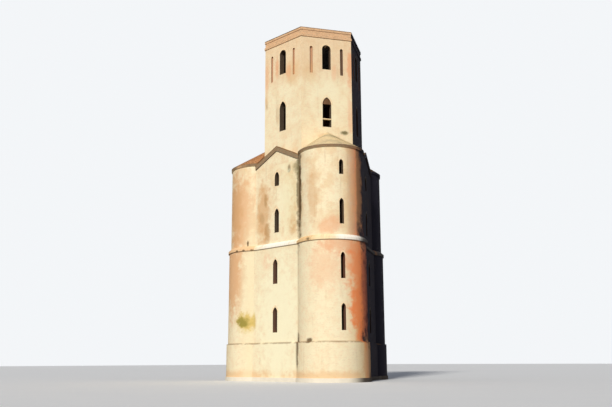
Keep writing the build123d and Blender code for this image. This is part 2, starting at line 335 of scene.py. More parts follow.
# %% [markdown]
# ## Brick walls
#
# Bricks of this age are about 215 mm long and 65 mm high, half of that here, in beds of lime
# mortar. The walls are in Flemish bond: a long stretcher and a short header take turns in each
# course, and every header sits over the middle of a stretcher. Some 150,000 bricks are too many
# to model, so the material works the bond out: how far along the wall and how high up a point
# lies gives its brick, and how near it is to the brick's edge gives the joint.
#
# On a flat side the distance along the wall is a straight one. Round a turret it is measured
# round the curve, so that the bricks keep their length.

# %% Sizes of brickwork
course = 0.0375
stretcher = 0.1125
header = stretcher / 2
joint = 0.005
brick_length = stretcher - joint
brick_width = header - joint
brick_height = course - joint
print("A brick is", [round(s * 1000, 1) for s in (brick_length, brick_width, brick_height)], "mm")


# %% Where a point lies on a wall
class Place:
    """Distance along the wall, height, compass and depth for each point of a brick surface."""

    def __init__(self, finish, bearing=None, radius=None):
        x, y, z = finish.position()
        face_x, face_y, face_z = finish.facing()
        if bearing is None:
            # The nearest of the six sides, or of the three turrets
            first, step = (-pi / 2, pi / 3) if radius is None else (-pi / 6, 2 * pi / 3)
            self.side = ((y.math("ARCTAN2", x) - first) / step + 0.5).floor()
            angle = self.side * step + first
            cosine, sine = angle.math("COSINE"), angle.math("SINE")
        else:
            angle = radians(bearing)
            cosine, sine = cos(angle), sin(angle)
        out = x * cosine + y * sine
        across = y * cosine - x * sine
        face_across = face_y * cosine - face_x * sine
        sideways = abs(face_across) > 0.75
        level = abs(face_z) > 0.8
        if radius is None:
            self.along = across + (out - across) * sideways
            self.round = across
            self.compass = angle if bearing is None else finish.number(angle)
            opening_side = sideways
        else:
            ahead = (out - turret_centre).most(0.0)
            behind = (turret_centre - out).most(0.0)
            swing = across.math("ARCTAN2", ahead)
            curved = swing * radius + across.math("SIGN") * behind
            opening_side = sideways * (abs(across) < 0.3)
            self.along = curved + (out - curved) * opening_side
            self.round = swing * (180 / pi)
            self.compass = swing + angle
        self.up = z + (out - z) * level
        self.height = z
        self.out = out
        # The sides and the arch of an opening, which the finishes paint dark as painted shade
        self.reveal = opening_side.most((face_z < -0.35) * (abs(face_z) < 0.99))
        self.point = finish.vector(x, y, z)
        self.torn = finish.noise(self.point, 2.4, detail=4.0, rough=0.6)

    def spot(self, across, height, width, depth, ragged=1.6):
        """A ragged mark on the wall, 1 in its middle and 0 outside it."""
        dx = (self.round - across) / width
        dz = (self.height - height) / depth
        far = (dx * dx + dz * dz).math("SQRT") + (self.torn - 0.5) * ragged
        return 1 - far.steps(0.35, 1.05)


# %% [markdown]
# ## Painted light and shade, and what the weather did
#
# The bricks were fired orange-red. On the sunny side they are painted pale cream, partly
# bleached brick and partly painted sunlight. Round the turrets towards the shade the red comes
# back, and the sides that face away from the lamp are painted dark, brown-black towards the east,
# as painted shade. So the colour follows the compass. Clouds of stain, streaks of rain below the
# roofs and a darker line where the plinth steps out come on top of that, and last each brick's
# own shade.

# %% Colours of the brick
fired_red = (0.86, 0.22, 0.078)
fired_orange = (0.96, 0.46, 0.19)
# Cream of the sunny side, partly bleached brick and partly painted sunlight
bleached_and_sunlit = (0.95, 0.735, 0.43)
bleached_and_sunlit_light = (0.95, 0.83, 0.56)
weathered_tan = (0.76, 0.44, 0.175)
# Colours of the west side, darker away from the lamp as painted shade
west_brown = (0.42, 0.20, 0.10)
west_tan = (0.76, 0.42, 0.20)
# Painted shade: near black and dark brown for the side that faces away from the lamp
painted_shade_black = (0.026, 0.024, 0.036)
painted_shade_brown = (0.075, 0.042, 0.038)
# Plain brick, darker and lighter in clouds, for the sides away from the lamp, where it carries part of
# the painted shade
darker_plain_brick = (0.17, 0.078, 0.045)
plain_brick = (0.38, 0.185, 0.105)
pinker_blotch = (0.86, 0.53, 0.31)
limy_blotch = (0.97, 0.90, 0.64)
turning_tan = (0.72, 0.44, 0.28)
top_pink = (0.82, 0.49, 0.27)
foot_orange = (0.84, 0.49, 0.21)
overfired = (0.30, 0.17, 0.10)
pink_fired = (0.90, 0.46, 0.28)
# Painted shade inside the niches
niche_shade_red = (0.46, 0.20, 0.105)
niche_shade_dark = (0.07, 0.04, 0.03)
# Painted shade in the reveals of openings
reveal_shade_brown = (0.055, 0.030, 0.020)
reveal_shade_red = (0.150, 0.050, 0.030)
rain_brown = (0.47, 0.255, 0.105)
ledge_brown = (0.29, 0.165, 0.080)
lichen_green = (0.17, 0.145, 0.060)
lichen_yellow = (0.70, 0.50, 0.12)
lichen_olive = (0.30, 0.25, 0.045)
lime_mortar = (0.90, 0.79, 0.60)
# Painted shade in the joints of the side away from the lamp
painted_shade_mortar = (0.075, 0.060, 0.052)
footing_stone = (1.00, 0.92, 0.76)
# Painted shade on the footing course away from the lamp
footing_shade_stone = (0.11, 0.09, 0.075)
coping_brown = (0.20, 0.108, 0.045)
crown_tan = (0.72, 0.40, 0.20)
# The bearing at which the painted sunlight is strongest
sunny_compass = radians(-78)


# %% Painted sunlight and shade, and weather
def painted_light_and_weather(finish, place, clouds, lift=0.0):
    """How sunny each point is, from 1 to -1, and the brick's colour there: pale cream as painted
    sunlight towards the lamp, and painted shade away from it. Towards the east the painted shade is
    near black. The west side turns slowly from cream to plain brick."""
    from_sun = place.compass - sunny_compass
    sun = from_sun.math("COSINE")
    # The colour by compass is painted light: sunlit cream towards the lamp, painted shade away from it
    painted_light_level = (sun + (clouds - 0.5) * 0.26 + lift) * 0.5 + 0.5
    plain = finish.mix(clouds.steps(0.36, 0.64), darker_plain_brick, plain_brick)
    light = ((0.775, bleached_and_sunlit), (0.92, bleached_and_sunlit_light))
    dark = ((0.570, painted_shade_black), (0.625, painted_shade_brown), (0.660, fired_red), (0.715, fired_orange))
    east = finish.ramp(painted_light_level, *dark, *light)
    west = finish.ramp(painted_light_level, (0.45, west_brown), (0.66, west_tan), *light)
    east = finish.mix(painted_light_level.steps(0.05, 0.25), plain, east)
    west = finish.mix(painted_light_level.steps(0.20, 0.60), plain, west)
    eastern = (from_sun.math("SINE") + (clouds - 0.5) * 0.4).steps(-0.3, 0.3)
    return sun, finish.mix(eastern, west, east)


# %% Bricks and joints
def bond(finish, place):
    """Flemish bond: 1 on a brick and 0 in a joint, and a vector that is the same all over a brick."""
    wavering = finish.noise(place.point, 9.0, detail=1.0) * 0.004 - 0.002
    row = ((place.up + wavering) / course).floor()
    unit = stretcher + header
    shifted = place.along + wavering + (row % 2.0) * (unit / 2)
    pair = (shifted / unit).floor()
    within = shifted - pair * unit
    is_header = within > stretcher
    length = stretcher - is_header * (stretcher - header)
    from_start = within - is_header * stretcher
    side_edge = from_start.to_edge(length)
    from_bed = place.up + wavering - row * course
    bed_edge = from_bed.to_edge(course)
    brick = side_edge.least(bed_edge).steps(joint * 0.3, joint * 0.75)
    return brick, finish.vector(pair * 2 + is_header, row, 3.0)


def tinted(finish, tone, brick, luck):
    """One colour all over the brickwork, with the joints and each brick's own shade left in it."""
    darker = tuple(part * 0.62 for part in tone)
    lighter = tuple(part * 1.30 for part in tone)
    dusty_joint = tuple(part * 0.8 + 0.12 for part in tone)
    return finish.mix(brick, dusty_joint, finish.mix(luck, darker, lighter))


# %% Stains all over the walls
def stain_walls(finish, place, sun, clouds, small_clouds, upper):
    """Blotches, mottling and rain. Upper is 1 above the string course and 0 below it."""
    # Small blotches where the brick is pinker or has kept more lime
    blotches = finish.noise(finish.vector(place.along, place.height, 4.0), 3.2, detail=5.0, rough=0.68)
    blotches = blotches.steps(0.42, 0.64)
    finish.stain(blotches * sun.steps(0.1, 0.5) * 0.17, pinker_blotch)
    finish.stain((1 - blotches) * sun.steps(0.5, 0.8) * 0.30, limy_blotch)
    # High up, the painted fall from sunlight into shade passes through tan, not red
    turning = sun.steps(0.12, 0.30) * (1 - sun.steps(0.42, 0.60))
    finish.stain(turning * upper * 0.60, turning_tan)
    # Above the string course the bleached brick is mottled with tan
    tower_stage = (place.height - turret_top).steps(-0.5, 1.5)
    upper_stage = (place.height - string_bottom).steps(0.2, 1.2) * (1 - tower_stage * 0.6)
    mottle = finish.noise(place.point, 1.15, detail=4.0, rough=0.55) * 0.75 + place.torn * 0.25
    mottled = mottle.steps(0.44, 0.60) * sun.steps(0.1, 0.5)
    finish.stain(mottled * (0.06 + upper_stage * 0.32), weathered_tan)
    # Streaks that rain has drawn down the wall
    stretched = finish.vector(place.along * 3.2, place.height * 0.34, 1.0)
    streaks = finish.noise(stretched, 1.0, detail=4.0, rough=0.65).steps(0.52, 0.78)
    below_roof = 1 - (turret_top - place.height).steps(0.0, 5.5)
    on_tower = place.height > turret_top
    tower_streaks = 1 - (cornice_bottom - place.height).steps(0.0, 5.0)
    wet = (below_roof * (1 - on_tower) + tower_streaks * on_tower).least(1.0)
    lit = sun.steps(0.0, 0.4)
    rain_share = (0.18 + wet * 0.34) * (0.35 + lit * 0.65)
    finish.stain(streaks * rain_share, rain_brown)
    # The top storey kept more of its pink, and the base its orange
    top_storey = (place.height - floors["sixth"] + (clouds - 0.5) * 1.2).steps(-0.5, 0.6)
    finish.stain(top_storey * 0.36 * lit, top_pink)
    foot = 1 - (place.height + (small_clouds - 0.5) * 0.35).steps(0.42, 0.75)
    finish.stain(foot * 0.60 * lit, foot_orange)


def shade_bricks(finish, sun, brick, own):
    """Each brick's own shade, then the joints. Gives back the bricks' chance numbers."""
    luck = finish.chance(own)
    other_own = {0: finish.vector(7.3, 1.9, 5.1), 1: own}
    other_luck = finish.chance(finish.node("ShaderNodeVectorMath", {"operation": "ADD"}, other_own))
    finish.stain(luck.steps(0.86, 1.0) * 0.15, finish.mix(0.62, finish.shade, overfired))
    pinker = finish.mix(0.5, finish.shade, pink_fired)
    finish.stain(other_luck.steps(0.72, 1.0) * (0.03 + sun.steps(0.1, 0.6) * 0.27), pinker)
    # Joints are painted dark on the side away from the lamp as painted shade, and lime-pale towards it
    lime = finish.mix(sun.steps(0.1, 0.6), painted_shade_mortar, lime_mortar)
    mortar = finish.mix(0.50, finish.shade, lime)
    finish.shade = finish.mix(brick, mortar, finish.shade)
    return luck


# %% Sizes of the footing, the turrets' cornice and the niches
footing_top = 0.23
turret_cornice = turret_top - 0.145  # where the turrets' oversailing courses start
niche_offset = 0.975  # from the middle of a side of the upper tower
niche_width = 0.18
print("The turrets' cornice starts", round(turret_cornice, 2), "m up")


# %% The whole finish of a wall
def brickwork(
    name, bearing=None, radius=None, marks=(), tone=None, shadowed_niche_from=None, lifts=(0.1, 0, 0.1)
):
    """The finish of a wall. Each mark has a colour, its strength, and its place and size.
    A tone is a colour that the brick has all over, and how strongly. The niches that lie beyond
    the given point along the wall are painted dark inside, as painted shade. The lifts say how
    much further towards the shade the base, the wall below the string course and the wall above
    it take the pale cream, partly bleached brick and partly painted sunlight."""
    finish = Finish(name, roughness=0.92)
    place = Place(finish, bearing, radius)
    brick, own = bond(finish, place)
    clouds = finish.noise(place.point, 0.55, detail=5.0, rough=0.62)
    small_clouds = finish.noise(place.point, 2.6, detail=4.0, rough=0.6)
    base = 1 - (place.height - plinth_top).steps(-0.1, 0.1)
    upper = (place.height - string_bottom).steps(0.0, 0.3)
    lift = base * lifts[0] + (1 - base) * (1 - upper) * lifts[1] + upper * lifts[2]
    sun, finish.shade = painted_light_and_weather(finish, place, clouds, lift)
    stain_walls(finish, place, sun, clouds, small_clouds, upper)
    luck = shade_bricks(finish, sun, brick, own)
    if tone is not None:
        finish.stain(sun.steps(-0.2, 0.35) * tone[1], tinted(finish, tone[0], brick, luck))
    if radius is not None:
        oversailing = (place.height > turret_cornice) * sun.steps(-0.2, 0.35)
        finish.stain(oversailing * 0.90, tinted(finish, coping_brown, brick, luck))
        reveal_shade = place.reveal * 0.92
    else:
        beside_niche = abs(abs(place.round) - niche_offset) < niche_width / 2 + 0.01
        at_niche = beside_niche * (abs(place.height - floors["sixth"] - 1.0) < 1.0)
        in_niche = at_niche * (place.out < tower_distance - 0.004)
        # Inside the niches the brick is painted redder and darker as painted shade in the recess, and
        # darker still beyond the given point
        finish.stain(in_niche * 0.70, niche_shade_red)
        if shadowed_niche_from is not None:
            finish.stain(in_niche * (place.round > shadowed_niche_from) * 0.85, niche_shade_dark)
        reveal_shade = place.reveal * (1 - at_niche) * 0.92
    for colour, strength, *where in marks:
        finish.stain(place.spot(*where) * strength, colour)
    # The reveals of openings are painted dark brown, redder low on the sunny side, as painted shade
    reddish = (1 - upper) * sun.steps(0.1, 0.5)
    finish.stain(reveal_shade, finish.mix(reddish, reveal_shade_brown, reveal_shade_red))
    # A patchy darker line where the plinth steps out, on the side towards the lamp
    off_ledge = abs(place.height - plinth_top + (small_clouds - 0.5) * 0.06)
    ledge_darkening = (1 - off_ledge.steps(0.012, 0.075)) * small_clouds.steps(0.30, 0.55)
    finish.stain(ledge_darkening * sun.steps(0.0, 0.3) * 0.66, ledge_brown)
    # The pale footing course at the ground, painted dark on the side away from the lamp as painted
    # shade
    stone = 1 - place.height.steps(footing_top - 0.002, footing_top + 0.002)
    footing_sunlit = sun.steps(0.1, 0.6) * (0.75 + small_clouds * 0.25)
    finish.stain(stone, finish.mix(footing_sunlit, footing_shade_stone, footing_stone))
    finish.paint()
    gritty = finish.noise(place.point, 110.0, detail=2.0)
    worn = brick * (0.70 + luck * 0.22) + gritty * 0.20 + small_clouds * 0.12
    finish.relief(worn, 0.0045)
    finish.roughness(0.86 + gritty * 0.12)
    return finish


# %% [markdown]
# ## Marks that show from the ground
#
# The photograph shows marks in known places: brown stains high on the south side and on the
# south-west turret, pink patches and a band of bare red brick on the south-east one, lichen low
# down beside the south side, and dark lines where a turret meets the core, partly dirt and partly
# painted shade in the corner. Some marks add painted light and shade: a pale wash on the south
# side and near black on the north turret's half away from the lamp. A mark on a turret is placed
# in degrees round it.

# %% Marks on the walls: colour, strength, place along, height, half width, half height
orange_stain = (0.66, 0.33, 0.12)
# A dark colour for stains, and for painted shade in corners
dark_stain_and_shade = (0.145, 0.092, 0.040)
brick_orange = (0.95, 0.29, 0.100)
brick_deep_red = (0.50, 0.15, 0.085)
dull_cream = (0.86, 0.75, 0.50)
damp_tan = (0.46, 0.26, 0.105)
pinkish_tan = (0.80, 0.475, 0.250)
pink_patch = (0.86, 0.41, 0.21)
limewash = (1.0, 0.955, 0.85)
# A pale wash, partly stain and partly painted light
cream_wash_and_light = (1.0, 0.94, 0.67)

south_marks = (
    (orange_stain, 0.62, -1.20, 9.9, 0.75, 2.6),
    (orange_stain, 0.50, -0.85, 8.5, 0.35, 0.7),
    (orange_stain, 0.50, 1.35, 8.9, 0.40, 0.8),
    (lichen_yellow, 0.22, 1.10, 10.8, 1.00, 3.2),
    (dark_stain_and_shade, 0.75, 1.05, 12.35, 0.16, 0.35),
    # Dark lines at the corner with the south-east turret: partly dirt, partly painted shade in the
    # corner
    (dark_stain_and_shade, 0.80, corner, 10.7, 0.26, 3.4),
    (lichen_green, 0.60, corner, 12.3, 0.60, 0.9),
    (dark_stain_and_shade, 0.15, corner, 4.6, 0.08, 5.0),
    (dark_stain_and_shade, 0.90, corner + 0.05, 1.7, 0.20, 1.2),
    (bleached_and_sunlit_light, 0.90, 0.45, 12.75, 0.85, 0.55),
    (damp_tan, 0.60, -0.98, 10.7, 0.17, 0.55),
    (damp_tan, 0.50, -0.82, 8.75, 0.30, 0.75),
    (damp_tan, 0.40, -1.30, 9.6, 0.30, 0.45),
    (pink_patch, 0.38, -0.7, 6.9, 0.6, 0.7),
    (cream_wash_and_light, 0.60, 0.65, 10.4, 1.0, 2.6),
    # Painted light: a pale wash over the lower south side, which stands back between the turrets,
    # partly pale stain and partly painted sunlight
    (cream_wash_and_light, 0.80, 0.30, 3.4, 2.3, 5.2),
    (lichen_yellow, 0.80, -corner, 3.45, 0.30, 0.70),
)
south_east_marks = (
    (pink_patch, 0.55, -20, 8.50, 27, 0.75),
    (pink_patch, 0.60, 5, 7.40, 62, 0.60),
    (pink_patch, 0.60, 16, 6.6, 26, 1.7),
    (pink_patch, 0.35, -30, 6.2, 40, 1.6),
    (orange_stain, 0.45, -52, 10.4, 16, 2.0),
    # Dark lines at the corner with the south side: partly dirt, partly painted shade in the corner
    (dark_stain_and_shade, 1.00, -90, 10.7, 10, 3.4),
    (dark_stain_and_shade, 0.80, -90, 1.7, 7, 1.2),
    (dark_stain_and_shade, 0.90, -57, 2.24, 8, 0.17),
    (dark_stain_and_shade, 0.85, -58, 7.80, 5, 0.13),
    (brick_orange, 0.45, 30, 5.2, 24, 3.4),
    (brick_orange, 0.62, 29, 6.40, 25, 1.4),
    (brick_orange, 0.95, 30, 3.95, 25, 1.7),
    (brick_deep_red, 0.80, 49, 5.0, 17, 3.6),
    (pinkish_tan, 0.85, 52, 1.1, 22, 1.6),
    (fired_orange, 0.35, 34, 10.6, 20, 3.4),
)
south_west_marks = (
    (pinkish_tan, 0.85, 58, 10.0, 50, 3.8),
    (pinkish_tan, 0.95, 46, 6.2, 40, 3.2),
    (orange_stain, 0.45, 50, 10.4, 24, 2.6),
    (dull_cream, 0.60, 92, 4.4, 26, 7.0),
    (lichen_yellow, 0.85, 80, 3.45, 24, 0.75),
    (lichen_olive, 0.85, 75, 3.42, 15, 0.42),
    (dark_stain_and_shade, 0.95, 82, 8.16, 2.6, 0.26),
)
north_marks = (
    # Painted shade: near black over the north turret's half that faces away from the lamp
    (painted_shade_black, 1.0, -88, 3.0, 42, 12.0),
    (painted_shade_black, 1.0, -88, 11.0, 42, 8.0),
)
tower_south_east_marks = (
    (lichen_green, 0.90, 1.12, 14.72, 0.30, 0.17),
    (orange_stain, 0.45, 0.10, 14.35, 0.75, 0.30),
    (pink_patch, 0.75, 1.52, 18.9, 0.26, 1.6),
    (pink_patch, 0.45, 1.50, 15.8, 0.22, 1.6),
    (weathered_tan, 0.30, -1.1, 18.4, 0.60, 1.1),
    (cream_wash_and_light, 0.40, 0.10, 16.8, 1.5, 2.2),
    (pink_patch, 0.35, 0.48, 18.6, 0.22, 0.9),
)
tower_south_marks = (
    (weathered_tan, 0.35, 0.9, 18.6, 0.80, 1.1),
    (dark_stain_and_shade, 0.45, -1.45, 16.9, 0.10, 0.30),
    (pink_patch, 0.55, -0.52, 19.2, 0.20, 0.9),
    (pink_patch, 0.50, 0.50, 18.7, 0.26, 0.7),
    (pink_patch, 0.45, -1.45, 18.9, 0.24, 1.3),
    (orange_stain, 0.40, -1.50, 17.2, 0.18, 0.7),
    (rain_brown, 0.30, -0.45, 16.2, 0.22, 0.9),
)

# %% Dress the walls
south_brick = brickwork("brick_south_side", -90, marks=south_marks)
flat_brick = brickwork("brick_flat_sides")
south_tower_brick = brickwork("brick_tower_south", -90, marks=tower_south_marks)
tower_brick = brickwork("brick_tower_south_east", -30, marks=tower_south_east_marks, shadowed_niche_from=0.5)
stages = ("base", "lower", "upper")
for turret, marks, lifts in (
    ("south_east", south_east_marks, (0.42, 0.17, 0.10)),
    ("north", north_marks, (0, 0, 0)),
    ("south_west", south_west_marks, (0.1, 0, 0.1)),
):
    bearing = turret_bearings[turret]
    finish = brickwork(f"brick_{turret}_turret", bearing, lower_turret_radius, marks, lifts=lifts)
    dress([f"{turret}_turret_{stage}" for stage in stages], finish)
coping_brick = brickwork("brick_of_copings", tone=(coping_brown, 0.85))
crown_brick = brickwork("brick_of_crown", tone=(crown_tan, 0.70))
dress([f"south_wall_{stage}" for stage in stages], south_brick)
for side in ("north_east", "north_west"):
    dress([f"{side}_wall_{stage}" for stage in stages], flat_brick)
for side in ("north_east", "north", "north_west", "south_west"):
    dress([f"{side}_tower_wall"], flat_brick)
dress(["gables", "bay_arches"], flat_brick)
dress(["south_east_tower_wall"], tower_brick)
dress(["south_tower_wall"], south_tower_brick)
dress(["gable_copings"], coping_brick)
dress(["tower_cornice", "parapet", "parapet_coping"], crown_brick)

# %% [markdown]
# ## Floors, string course and lead
#
# The string course is a band of pale render with a weathered top, a little dirty below the
# walls that drip on it, with painted sunlight and shade and painted shade on its underside. The
# floors are wide boards, and the deck behind the parapet is lead.

# %% Render of the string course
def pale_render(name, radius, marks):
    """Cream render with painted sunlight towards the lamp and painted shade away from it, painted
    shade on its underside mixed with drips, and dirt where the walls above drip on it. Each mark
    has the number of its side or turret first."""
    finish = Finish(name, roughness=0.9)
    place = Place(finish, None, radius)
    clouds = finish.noise(place.point, 3.0, detail=5.0, rough=0.65)
    sun, wall_shade = painted_light_and_weather(finish, place, clouds)
    # Away from the lamp the render takes the walls' painted shade; towards it, painted sunlight takes
    # it from red-brown to cream
    shaded_render = finish.mix(0.08, wall_shade, lime_mortar)
    cloudy_sun = sun + (clouds - 0.5) * 0.2
    red_brown, sandy, cream = (0.40, 0.20, 0.11), (0.88, 0.66, 0.38), (0.93, 0.76, 0.47)
    sunny = finish.ramp(cloudy_sun * 0.5 + 0.5, (0.66, red_brown), (0.72, sandy), (1.00, cream))
    finish.shade = finish.mix(cloudy_sun.steps(0.12, 0.34), shaded_render, sunny)
    for side, colour, strength, *where in marks:
        on_side = abs(place.side - side) < 0.5
        finish.stain(place.spot(*where, ragged=0.9) * on_side * strength, colour)
    drips = finish.noise(finish.vector(place.along * 9.0, place.height * 0.8, 2.0), 1.0, detail=3.0)
    lit = sun.steps(0.0, 0.4)
    finish.stain(drips.steps(0.50, 0.80) * lit * 0.50, rain_brown)
    # Its underside is painted darker as painted shade, more so where drips run
    underside_shade = (1 - (place.height - string_bottom).steps(0.0, 0.04)) * lit
    finish.stain(underside_shade * (0.35 + drips * 0.5), (0.19, 0.11, 0.06))
    finish.paint()
    finish.relief(finish.noise(place.point, 60.0) * 0.6 + clouds, 0.004)
    return finish


flat_band = pale_render("render_flat_sides", None, ((0, limewash, 0.9, 0.2, 7.85, 2.4, 0.7),))
south_east, south_west = 0, -1
turret_band_marks = [
    (south_east, limewash, 0.95, 12, 7.9, 34, 0.5),
    (south_east, weathered_tan, 0.6, -72, 7.8, 36, 0.6),
    (south_east, dark_stain_and_shade, 0.8, -58, 7.80, 5, 0.13),
    (south_west, pinkish_tan, 0.70, 60, 7.9, 90, 0.7),
]
turret_band_marks += [(south_west, dark_stain_and_shade, 0.9, turn, 7.72, 4, 0.10) for turn in (61, 76, 92)]
turret_band = pale_render("render_turrets", lower_turret_radius, turret_band_marks)
dress(["string_course_turrets"], turret_band)
dress(["string_course_flat_sides", "window_transom"], flat_band)

# %% Floor boards
board_width = 0.11
board_length = 1.8
boards = Finish("floor_boards", roughness=0.75)
x, y, z = boards.position()
board_number = (y / board_width).floor()
board_shift = boards.chance(boards.vector(board_number, 4.0, 0.0)) * board_length
board_end = ((x + board_shift) / board_length).floor()
board_luck = boards.chance(boards.vector(board_number, board_end, 1.0))
along_grain = boards.vector(x * 1.5 + board_luck * 20, y * 60.0, z * 20.0)
wood_grain = boards.noise(along_grain, 1.0, detail=4.0)
boards.shade = boards.mix(wood_grain, (0.20, 0.135, 0.085), (0.42, 0.31, 0.21))
boards.stain(board_luck * 0.5, (0.30, 0.25, 0.20))
in_board = y - board_number * board_width
in_length = (x + board_shift) - board_end * board_length
side_gap = in_board.to_edge(board_width)
end_gap = in_length.to_edge(board_length)
gap = side_gap.least(end_gap).steps(0.0008, 0.0022)
boards.stain(1 - gap, (0.03, 0.02, 0.015))
boards.paint()
boards.relief(gap * 0.8 + wood_grain * 0.2, 0.003)
dress([f"{storey}_floor" for storey in storeys], boards)

# %% Boards that block a window's head
plank_width = 0.09
old_boards = Finish("weathered_boards", roughness=0.85)
x, y, z = old_boards.position()
sideways = x * cos(pi / 3) + y * cos(pi / 6)  # along the face of the south-east side
plank = (sideways / plank_width).floor()
plank_luck = old_boards.chance(old_boards.vector(plank, 2.0, 5.0))
rings = old_boards.noise(old_boards.vector(sideways * 70.0, z * 2.0, plank_luck * 9), 1.0, detail=4.0)
in_plank = sideways - plank * plank_width
plank_gap = in_plank.to_edge(plank_width).steps(0.001, 0.004)
dark_wood, light_wood = (0.10, 0.052, 0.026), (0.27, 0.14, 0.070)
old_boards.shade = old_boards.mix(rings * 0.6 + plank_luck * 0.4, dark_wood, light_wood)
old_boards.stain(1 - plank_gap, (0.02, 0.012, 0.008))
old_boards.paint()
old_boards.relief(plank_gap * 0.8 + rings * 0.2, 0.004)
dress(["window_head_board"], old_boards)

# %% Lead of the deck
lead = Finish("sheet_lead", roughness=0.6, gloss=0.5)
lead_point = lead.vector(*lead.position())
lead_clouds = lead.noise(lead_point, 1.6, detail=5.0)
lead_fine = lead.noise(lead_point, 24.0)
lead.shade = lead.mix(lead_clouds.steps(0.3, 0.7), (0.17, 0.175, 0.185), (0.34, 0.34, 0.34))
lead.stain(lead_fine.steps(0.55, 0.8) * 0.4, (0.50, 0.50, 0.48))
lead.paint()
lead.shader.inputs["Metallic"].default_value = 0.35
lead.roughness(0.50 + lead_fine * 0.3)
lead.relief(lead_clouds * 0.7 + lead_fine * 0.3, 0.004)
dress(["roof_deck"], lead)

# %% Clay of the tiles
clay = Finish("clay_tiles", roughness=0.85)
x, y, z = clay.position()
clay_point = clay.vector(x, y, z)
clay_clouds = clay.noise(clay_point, 1.3, detail=4.0)
clay_fine = clay.noise(clay_point, 38.0)
tile_luck = clay.luck()
# Tiles that face away from the lamp are painted dark as painted shade
clay_compass = (y.math("ARCTAN2", x) - sunny_compass).math("COSINE")
clay_sun = (clay_compass + (clay_clouds - 0.5) * 0.5).steps(-0.2, 0.5)
dark_tile, plain_tile, light_tile = (0.36, 0.150, 0.065), (0.56, 0.270, 0.115), (0.70, 0.420, 0.210)
clay.shade = clay.ramp(tile_luck, (0.0, dark_tile), (0.5, plain_tile), (1.0, light_tile))
clay.stain((1 - clay_sun) * 0.80, (0.085, 0.058, 0.045))
# Pale tiles on the south-east turret's roof: partly lime slurry, partly painted sunlight
slurry_and_light = (x - 1.0).steps(0.0, 0.5) * (0 - y).steps(0.0, 0.5)
clay.stain(slurry_and_light * 0.94, clay.mix(tile_luck, (0.84, 0.68, 0.42), (0.97, 0.83, 0.55)))
moss = clay_clouds.steps(0.50, 0.72) * (0.55 + clay_fine * 0.45) * (0.45 + tile_luck * 0.55)
clay.stain(moss * 0.60, (0.20, 0.185, 0.10))
clay.paint()
clay.relief(clay_fine, 0.0015)
dress(["turret_roofs", "gable_roofs"], clay)

# %% [markdown]
# ## Modelling by hand, in code
#
# Each new piece starts from a primitive, is shaped in edit mode, is repeated with arrays and is
# cut with bisect, as it would be with the mouse. These helpers keep the steps short. Every
# operator acts on all that is selected, so each helper first selects only its own piece.

# %% Helpers for modelling
def only(piece):
    """Selects one object and makes it the active one."""
    bpy.ops.object.select_all(action="DESELECT")
    piece.select_set(True)
    bpy.context.view_layer.objects.active = piece


def started(name, primitive, **settings):
    """A new object from one of Blender's operators, and the only one selected."""
    bpy.ops.object.select_all(action="DESELECT")
    primitive(**settings)
    piece = bpy.context.object
    piece.name = name
    return piece


def settle(piece, place=None, turn=None):
    """Moves and turns a piece, and makes its place, turn and scale part of its mesh."""
    if place is not None:
        piece.location = place
    if turn is not None:
        piece.rotation_euler = turn
    only(piece)
    bpy.ops.object.transform_apply(location=True, rotation=True, scale=True)


def change(piece, kind, **settings):
    """Adds a modifier with these settings and applies it."""
    only(piece)
    modifier = piece.modifiers.new(kind.lower(), kind)
    for name, setting in settings.items():
        setattr(modifier, name, setting)
    bpy.ops.object.modifier_apply(modifier=modifier.name)


def copied(piece, name, place=(0, 0, 0), turn=0):
    """A copy with a mesh of its own, moved, or turned about the tower's axis by this many degrees."""
    only(piece)
    bpy.ops.object.duplicate()
    copy = bpy.context.object
    copy.name = name
    settle(copy, place, (0, 0, radians(turn)))
    return copy


def joined(pieces, name):
    only(pieces[0])
    for piece in pieces:
        piece.select_set(True)
    bpy.ops.object.join()
    bpy.context.object.name = name
    return bpy.context.object


def repeat(piece, count, step):
    """Repeats a piece in a row with this step."""
    spacing = {"use_constant_offset": True, "constant_offset_displace": step}
    change(piece, "ARRAY", count=count, use_relative_offset=False, **spacing)


def mirror(piece):
    """Adds the other half of a piece that is the same on both sides of X = 0."""
    change(piece, "MIRROR", use_clip=True)


def shape(piece, tool, **settings):
    """Uses a tool of edit mode on the whole mesh."""
    only(piece)
    bpy.ops.object.mode_set(mode="EDIT")
    bpy.ops.mesh.select_all(action="SELECT")
    tool(**settings)
    bpy.ops.object.mode_set(mode="OBJECT")


def cut(piece, point, towards, fill=True, away=True):
    """Cuts along a plane, and takes away what lies on the side that it points towards."""
    plane = {"plane_co": point, "plane_no": Vector(towards).normalized()}
    shape(piece, bpy.ops.mesh.bisect, use_fill=fill, clear_outer=away, **plane)


def mitre(piece, *sides, fill=True):
    """Cuts a piece of the south side off at its right end, for 1, or its left one, for -1."""
    for side in sides:
        cut(piece, (0, 0, 0), (side * cos(pi / 6), sin(pi / 6), 0), fill)


def number_each(piece, faces_each, seed):
    """Gives each brick or tile a chance number of its own, which its finish reads."""
    chance = random.Random(seed)
    numbers = []
    for number in range(len(piece.data.polygons) // faces_each):
        numbers += [chance.random()] * faces_each
    luck = piece.data.attributes.new("luck", "FLOAT", "FACE")
    luck.data.foreach_set("value", numbers)


faces_of_brick = 9  # of a block without its lower face and with bevelled upper arrises
faces_of_tile = 5


